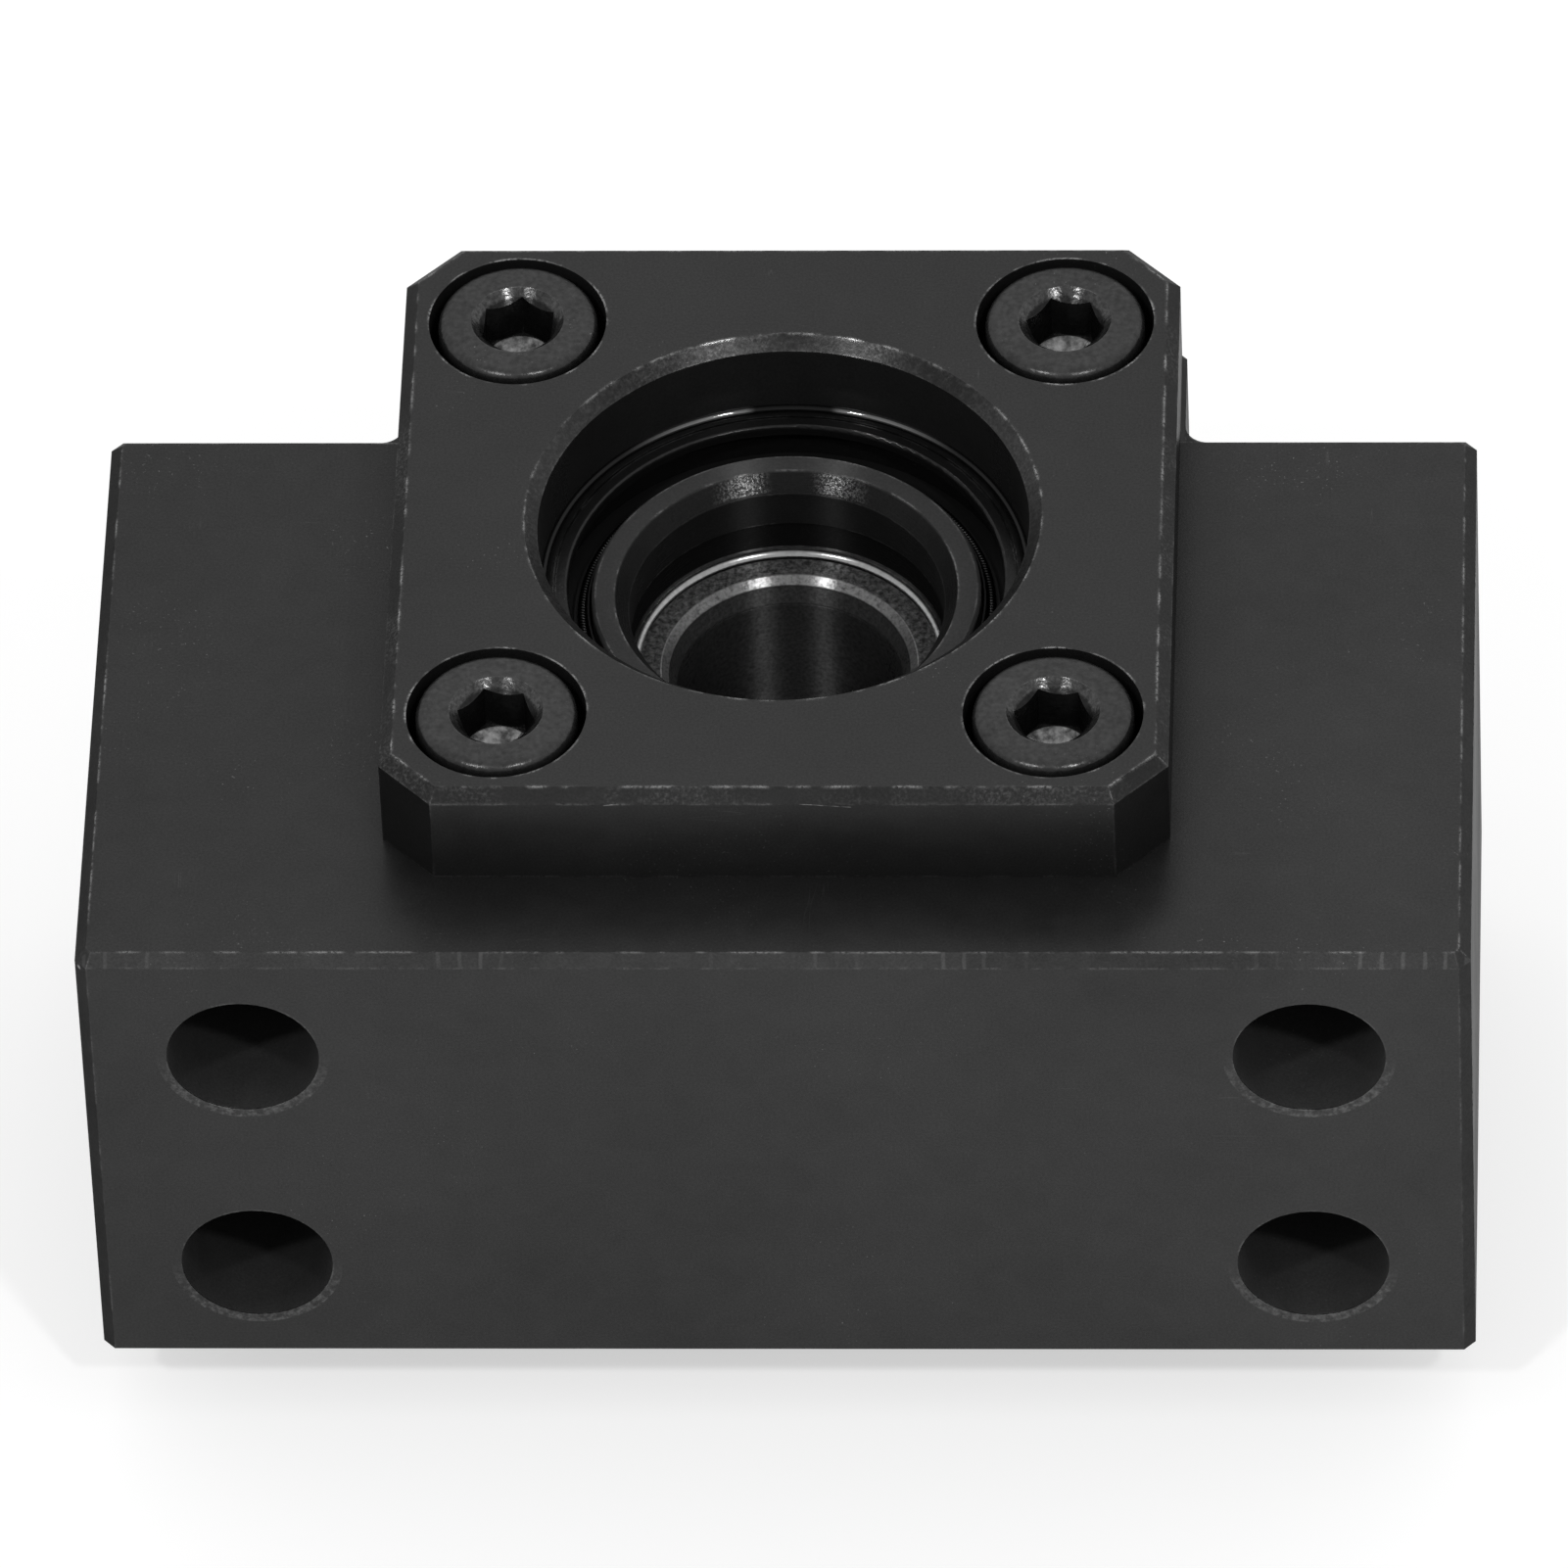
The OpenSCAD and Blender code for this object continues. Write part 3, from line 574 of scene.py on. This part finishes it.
looks = {
    # the housing's tone slope from side to side is painted light, brighter towards +X
    "housing": dict(plainLook, **boltAxes, paintedSideLight=(0.96, 1.08), smudgeDepth=0.55, zones=[
        # painted light lifts the walls of the bolt holes
        {"inner": 3.15, "outer": 3.4, "low": -21.95, "high": 10.0, "tone": 1.5, "gloss": -0.35},
        # rubbed metal round the lower half of each bolt hole's rim, also a painted highlight
        {"inner": 3.3, "outer": 3.75, "low": -22.1, "high": -21.9, "under": 12.5,
         "bareAndHighlight": 0.2, "patch": 4200.0, "least": 0.36, "most": 0.76},
    ], strokes=[
        ((-28.5, -2.6, 24.5), (-18.2, -3.9, 24.5), 0.1, 0.12),
        ((-23.7, -9.1, 24.5), (-20.9, -9.3, 24.5), 0.12, 0.1),
        ((-29.75, -21.4, 24.5), (-29.9, -22.0, 24.0), 0.14, 0.8),
    ], chatter={"base": -21.5, "front": 24.5, "soft": 0.05, "pitch": 0.9, "ridge": 0.7,
                "sway": 1.6, "swayScale": 260.0, "bends": (0.2, 0.8),
                "patchScale": 110.0, "patches": (0.48, 0.66), "amount": 0.1}),
    # the bevel tone is painted shade on the chamfers that face the front
    "cover": dict(plainLook, bevel={"tone": 0.62, "scale": 6500.0, "points": (0.42, 0.74),
                                    "patchScale": 170.0, "patches": (0.42, 0.6), "amount": 0.13},
                  wearRadius=0.2, wearAmount=0.95, zones=[
        # painted light lifts the wall of the bore
        {"inner": 0.0, "outer": 10.8, "low": 19.0, "high": 29.5, "tone": 1.1, "keepClean": True},
        {"inner": 10.75, "outer": 11.28, "low": 29.4, "high": 29.99,
         "bareAndHighlight": 0.075, "patch": 3200.0, "least": 0.4, "most": 0.75},
    ], strokes=[
        ((-7.2, -17.02, 29.4), (-4.6, -17.02, 29.75), 0.05, 1.0),
        ((1.1, -17.02, 29.5), (3.4, -17.02, 29.3), 0.04, 1.0),
        ((9.8, -14.6, 30.0), (10.4, -13.9, 30.0), 0.03, 1.0),
    ]),
    "screws": dict(plainLook, **screwAxes, skin=0.055, roughness=0.27, wearRadius=0.06, wearAmount=0.4,
                   smudgeScale=250.0, smudgeDepth=0.6, grainScale=4500.0, grainContrast=0.9, bump=0.014,
                   speckAmount=0.6, zones=[
        # painted shade darkens the hexagon sockets
        {"inner": 0.0, "outer": 1.8, "low": 27.7, "high": 29.85, "tone": 0.45, "keepClean": True},
        {"inner": -1.0, "outer": 1.55, "low": 26.5, "high": 27.64,
         "bareAndHighlight": 0.75, "patch": 1600.0, "least": 0.3, "most": 0.7},
        {"inner": 1.45, "outer": 2.08, "low": 29.8, "high": 30.14, "gloss": 0.07,
         "bareAndHighlight": 0.12, "patch": 6000.0, "least": 0.35, "most": 0.65},
    ]),
    "collar": dict(turnedLook, skin=0.04, bareGloss=0.1, zones=[
        {"inner": 4.9, "outer": 5.27, "low": 19.4, "high": 20.38,
         "bareAndHighlight": 0.14, "patch": 6000.0, "least": 0.2, "most": 0.8},
        {"inner": 5.25, "outer": 5.66, "low": 20.36, "high": 20.73, "gloss": 0.08,
         "bareAndHighlight": 0.95, "patch": 5000.0, "least": 0.1, "most": 0.65},
        {"inner": 5.66, "outer": 6.8, "low": 20.6, "high": 20.8, "gloss": 0.1,
         "bareAndHighlight": 0.55, "patch": 4200.0, "least": 0.3, "most": 0.8},
        # painted shade darkens the bore wall, most of all its lower part, and the mouth bevel; painted
        # light lifts the end face
        {"inner": 6.7, "outer": 7.3, "low": 20.8, "high": 22.6, "tone": 0.35},
        {"inner": 6.7, "outer": 6.93, "low": 22.6, "high": 24.42, "tone": 0.6},
        {"inner": 7.45, "outer": 8.5, "low": 25.2, "high": 25.4, "tone": 1.9},
        {"inner": 6.92, "outer": 7.48, "low": 24.42, "high": 25.28, "gloss": 0.2, "tone": 0.8},
        # painted highlights: bare patches on the mouth bevel, one on each side of the middle
        {"inner": 6.92, "outer": 7.48, "low": 24.5, "high": 25.24, "beside": (0.8, 1.7, 2.3, 3.6),
         "bareAndHighlight": 0.75, "patch": 9000.0, "least": 0.4, "most": 0.72},
    ], strokes=[((-6.6, -1.0, 22.4), (-6.5, 0.5, 22.9), 0.05, 1.0)]),
    "seal_case": dict(plainLook, skin=0.03, roughness=0.24, grainScale=5000.0, wearAmount=0.6,
                      wearRadius=0.08),
    "bearing_steel": dict(turnedLook, metallic=0.9, skin=0.06, wearAmount=0.2, grainScale=6000.0,
                          grainContrast=1.4),
    "spring": dict(plainLook, metallic=1.0, skin=0.04, bareAndHighlight=0.1, roughness=0.3, wearAmount=0.0),
    "ball_steel": dict(plainLook, metallic=1.0, skin=0.75, bareAndHighlight=0.8, roughness=0.05, grainContrast=0.02,
                       smudgeDepth=0.03, bump=0.0002, rim=1.0, wearAmount=0.0, speckAmount=0.0),
    "cut_steel": dict(plainLook, metallic=1.0, skin=0.4, bareAndHighlight=0.6, roughness=0.22, grainScale=4000.0,
                      grainContrast=0.5, wearAmount=0.0),
    "oiled_steel": dict(plainLook, skin=0.022, roughness=0.14, grainContrast=0.3, wearAmount=0.0,
                        speckAmount=0.0, bump=0.001, zones=[
        # painted highlights: bright patches on the fillet, one on each side of the middle
        {"inner": 9.0, "outer": 12.0, "low": 20.0, "high": 28.0, "beside": (1.6, 2.2, 3.6, 7.5),
         "bareAndHighlight": 0.5},
    ]),
}
materials = {name: blackenedSteel(name, look) for name, look in looks.items()}

mouldedLooks = {
    "cage": {"name": "cage", "color": (0.72, 0.65, 0.5, 1.0), "roughness": 0.5, "specular": 0.5,
             "smudgeScale": 200.0, "smudgeDepth": 0.15, "grainScale": 6000.0, "grainContrast": 0.08,
             "bump": 0.004},
    "seal_lip": {"name": "sealLip", "color": grey(0.006), "roughness": 0.55, "specular": 0.2,
                 "smudgeScale": 200.0, "smudgeDepth": 0.2, "grainScale": 8000.0, "grainContrast": 0.1,
                 "bump": 0.003},
}


def mouldedMaterial(look):
    material, tree, shader = newMaterial(look["name"])
    haze = useGroup(tree, smudge, (-3, 0), Scale=look["smudgeScale"], Depth=look["smudgeDepth"])
    tooth = useGroup(tree, grain, (-3, 1.5), Scale=look["grainScale"], Contrast=look["grainContrast"])
    tone = mathNode(tree, "MULTIPLY", (-1, 0), haze["Tone"], tooth["Tone"])
    color = mixColor(tree, (1, 0), 1.0, look["color"], tone, blend="MULTIPLY")
    tree.links.new(color, shader.inputs["Base Color"])
    rough = mathNode(tree, "ADD", (1, 2), haze["Gloss"], look["roughness"], clamp=True)
    tree.links.new(rough, shader.inputs["Roughness"])
    shader.inputs["Specular IOR Level"].default_value = look["specular"]
    addBump(tree, shader, tooth["Height"], look["bump"])
    return material


for slot, look in mouldedLooks.items():
    materials[slot] = mouldedMaterial(look)

for part in frame["record"]["subparts"]:
    mesh = nodes[part["node"]].data
    mesh.materials.clear()
    mesh.materials.append(materials[part["material_slot"]])
print("materials placed")


# pieces that stand in for packed ones, or are added to them

def linkObject(name, data):
    thing = bpy.data.objects.new(name, data)
    bpy.context.scene.collection.objects.link(thing)
    return thing


def addPiece(name, mesh, look, body):
    mesh.materials.clear()
    mesh.materials.append(materials[look])
    piece = linkObject(name, mesh)
    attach(piece, body)
    return piece


springShape = {"pitch": 0.165, "wire": 0.13, "pointsPerTurn": 10, "wireSides": 1}


def garterSpring(name, node):
    # a wire coil bent into a ring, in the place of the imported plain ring
    low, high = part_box(node)
    coilRadius = (high.z - low.z) / 2 - springShape["wire"] * mm / 2
    middle = (low + high) / 2
    ringRadius = (high.x - low.x) / 2 - (high.z - low.z) / 2
    turns = round(2 * pi * ringRadius / (springShape["pitch"] * mm))
    count = turns * springShape["pointsPerTurn"]
    curve = bpy.data.curves.new(name, "CURVE")
    curve.dimensions = "3D"
    curve.bevel_depth = springShape["wire"] * mm / 2
    curve.bevel_resolution = springShape["wireSides"]
    wire = curve.splines.new("POLY")
    wire.points.add(count - 1)
    for i, point in enumerate(wire.points):
        turned = 2 * pi * i / count
        winding = turned * turns
        out = ringRadius + coilRadius * cos(winding)
        point.co = (out * cos(turned), out * sin(turned), middle.z + coilRadius * sin(winding), 1)
    wire.use_cyclic_u = True
    wire.use_smooth = True
    shape = linkObject(name + "Curve", curve)
    bpy.context.view_layer.update()
    mesh = bpy.data.meshes.new_from_object(shape.evaluated_get(bpy.context.evaluated_depsgraph_get()))
    bpy.data.objects.remove(shape)
    spring = addPiece(name, mesh, "spring", "block")
    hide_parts(node)


garterSpring("front_coiled_spring", "front_garter_spring")
garterSpring("rear_coiled_spring", "rear_garter_spring")
print("springs wound")


def meshFrom(name, bm, smooth):
    bmesh.ops.recalc_face_normals(bm, faces=bm.faces)
    for face in bm.faces:
        if face.normal.z < 0:
            face.normal_flip()
        face.smooth = smooth
    mesh = bpy.data.meshes.new(name)
    bm.to_mesh(mesh)
    bm.free()
    return mesh


filletSteps = {"arc": 8, "turn": 160}


def rowAndTurn(face):
    # grows from row to row up the round, and within a row with the turn about the axis
    middle = face.calc_center_median()
    return middle.z / mm * filletSteps["turn"] * 2 * pi + atan2(middle.y, middle.x)


def cornerFillet(name, radius, station, size, look, body):
    # a hollow round between a bore of this radius and the floor at this station, to catch the light
    bm = bmesh.new()
    profile = []
    for i in range(filletSteps["arc"] + 1):
        turn = pi / 2 * i / filletSteps["arc"]
        out = radius - size + size * sin(turn)
        up = station + size - size * cos(turn)
        profile.append(bm.verts.new((out * mm, 0, up * mm)))
    edges = [bm.edges.new(pair) for pair in zip(profile, profile[1:])]
    bmesh.ops.spin(bm, geom=profile + edges, cent=(0, 0, 0), axis=(0, 0, 1), angle=2 * pi,
                   steps=filletSteps["turn"], use_merge=True)
    bm.faces.sort(key=rowAndTurn)  # the spin leaves its faces in another order each run
    addPiece(name, meshFrom(name, bm, True), look, body)


socketShape = {"spacing": 12.0, "radius": 1.494, "corner": 1.745, "floor": 27.65, "skin": 0.01,
               "ledge": 0.002, "sides": 48}


def openSockets():
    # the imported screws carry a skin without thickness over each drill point; the modifier takes it off
    tree = bpy.data.node_groups.new("openSockets", "GeometryNodeTree")
    for way in ("INPUT", "OUTPUT"):
        tree.interface.new_socket(name="Geometry", in_out=way, socket_type="NodeSocketGeometry")
    start = addNode(tree, "NodeGroupInput", (-6, -2))
    end = addNode(tree, "NodeGroupOutput", (4, 0))
    place = splitVector(tree, (-5, 0), addNode(tree, "GeometryNodeInputPosition", (-6, 0)).outputs[0])
    squares = []
    for row, axis in enumerate("XY"):
        beside = mathNode(tree, "ABSOLUTE", (-4, row), place[axis])
        beside = mathNode(tree, "SUBTRACT", (-3, row), beside, socketShape["spacing"] * mm)
        squares.append(mathNode(tree, "MULTIPLY", (-2, row), beside, beside))
    reach = mathNode(tree, "SQRT", (0, 0), mathNode(tree, "ADD", (-1, 0), *squares))
    inside = mathNode(tree, "LESS_THAN", (1, 0), reach, socketShape["radius"] * mm)
    above = mathNode(tree, "SUBTRACT", (-2, 2), place["Z"], socketShape["floor"] * mm)
    away = mathNode(tree, "ABSOLUTE", (-1, 2), above)
    level = mathNode(tree, "LESS_THAN", (0, 2), away, socketShape["skin"] * mm)
    delete = addNode(tree, "GeometryNodeDeleteGeometry", (3, 0), domain="FACE")
    tree.links.new(start.outputs[0], delete.inputs["Geometry"])
    tree.links.new(mathNode(tree, "MULTIPLY", (2, 1), inside, level), delete.inputs["Selection"])
    tree.links.new(delete.outputs[0], end.inputs[0])
    nodes["cover_screws"].modifiers.new("openSockets", "NODES").node_group = tree


def socketLedges():
    # the flat corners of the hexagons, round the drill points
    spacing = socketShape["spacing"]
    bm = bmesh.new()
    for x in (-1, 1):
        for y in (-1, 1):
            middle = Vector((x * spacing, y * spacing, socketShape["floor"])) * mm
            bmesh.ops.create_cone(bm, cap_ends=False, segments=socketShape["sides"],
                                  radius1=socketShape["corner"] * mm, radius2=socketShape["radius"] * mm,
                                  depth=socketShape["ledge"] * mm, matrix=Matrix.Translation(middle))
    addPiece("socket_ledges", meshFrom("socket_ledges", bm, False), "screws", "block")


caseFillet = {"size": 0.2, "lift": 0.01}
collarFillet = {"size": 0.42, "radius": 6.995, "station": 20.705}

openSockets()
socketLedges()
caseLow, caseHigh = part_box("front_seal_case")
cornerFillet("case_fillet", (caseHigh.x - caseLow.x) / 2 / mm, caseHigh.z / mm + caseFillet["lift"],
             caseFillet["size"], "oiled_steel", "block")
cornerFillet("collar_fillet", collarFillet["radius"], collarFillet["station"], collarFillet["size"],
             "cut_steel", "rotor")
print("corners filled")


# floor, world, lamps and camera

floorSettings = {"size": 3.0, "color": 0.55, "white": 0.55}


def makeFloor():
    bm = bmesh.new()
    bmesh.ops.create_grid(bm, x_segments=1, y_segments=1, size=floorSettings["size"],
                          matrix=Matrix.Translation((0, 0, cadBox[0].z)))
    mesh = bpy.data.meshes.new("floor")
    bm.to_mesh(mesh)
    bm.free()
    floor = linkObject("floor", mesh)
    # what looks at the floor or mirrors it sees it white, with the object's shadow still on it
    material, tree, shader = newMaterial("floor")
    shader.inputs["Base Color"].default_value = grey(floorSettings["color"])
    shader.inputs["Roughness"].default_value = 1.0
    shader.inputs["Specular IOR Level"].default_value = 0.0
    shader.inputs["Emission Color"].default_value = grey(1.0)
    rays = addNode(tree, "ShaderNodeLightPath", (-3, 0)).outputs
    seen = mathNode(tree, "ADD", (-2, 0), rays["Is Camera Ray"], rays["Is Glossy Ray"])
    seen = mathNode(tree, "ADD", (-1, 0), seen, rays["Is Transmission Ray"], clamp=True)
    glow = mathNode(tree, "MULTIPLY", (0, 0), seen, floorSettings["white"])
    tree.links.new(glow, shader.inputs["Emission Strength"])
    mesh.materials.append(material)


# a plain pale room, darkest on the viewer's side and brightest behind the block
worldSettings = {"lean": (0.08, 0.85, 0.12), "middle": 0.7, "swing": 0.42}


def makeWorld():
    world = bpy.data.worlds.new("studio")
    bpy.context.scene.world = world
    world.use_nodes = True
    tree = world.node_tree
    direction = addNode(tree, "ShaderNodeTexCoord", (-5, 0)).outputs["Generated"]
    lean = vectorNode(tree, "DOT_PRODUCT", (-4, 0), direction, worldSettings["lean"])
    swing = mathNode(tree, "MULTIPLY", (-3, 0), lean, worldSettings["swing"])
    strength = mathNode(tree, "ADD", (-2, 0), swing, worldSettings["middle"])
    background = tree.nodes["Background"]
    background.inputs["Color"].default_value = grey(1.0)
    tree.links.new(strength, background.inputs["Strength"])


def aim(thing, target, roll=0.0):
    direction = target - thing.location
    turn = direction.to_track_quat("-Z", "Y").to_matrix() @ Matrix.Rotation(roll, 3, "Z")
    thing.rotation_euler = turn.to_euler()


def around(target, distance, azimuth, elevation):
    # azimuth is counted from straight in front of the base, towards +X
    flat = cos(radians(elevation)) * distance
    return target + Vector((flat * sin(radians(azimuth)), -flat * cos(radians(azimuth)),
                            sin(radians(elevation)) * distance))


lampSettings = {
    "left": {"azimuth": -35, "elevation": 50, "distance": 0.9, "size": 0.06, "power": 1.5},
    "right": {"azimuth": 30, "elevation": 50, "distance": 0.9, "size": 0.06, "power": 1.5},
}


def makeLamps():
    middle = (cadBox[0] + cadBox[1]) / 2
    for name, setting in lampSettings.items():
        lamp = bpy.data.lights.new(name, "AREA")
        lamp.shape = "DISK"
        lamp.size = setting["size"]
        lamp.energy = setting["power"]
        holder = linkObject(name, lamp)
        holder.location = around(middle, setting["distance"], setting["azimuth"], setting["elevation"])
        aim(holder, middle)


cameraSettings = {
    "target": (-0.37, -1.67, 15.0), "distance": 973.1, "azimuth": 3.565, "elevation": 45.68,
    "roll": -2.56, "lens": 509.4, "sensor": 36.0, "nearest": 0.01, "farthest": 20.0,
}


def makeCamera():
    camera = bpy.data.cameras.new("camera")
    camera.lens = cameraSettings["lens"]
    camera.sensor_width = cameraSettings["sensor"]
    camera.clip_start = cameraSettings["nearest"]
    camera.clip_end = cameraSettings["farthest"]
    holder = linkObject("camera", camera)
    target = Vector(cameraSettings["target"]) * mm
    holder.location = around(target, cameraSettings["distance"] * mm, cameraSettings["azimuth"],
                             cameraSettings["elevation"])
    aim(holder, target, radians(cameraSettings["roll"]))
    bpy.context.scene.camera = holder


makeFloor()
makeWorld()
makeLamps()
makeCamera()
bpy.context.scene.view_settings.view_transform = "Standard"
print("floor, lamps and camera set")
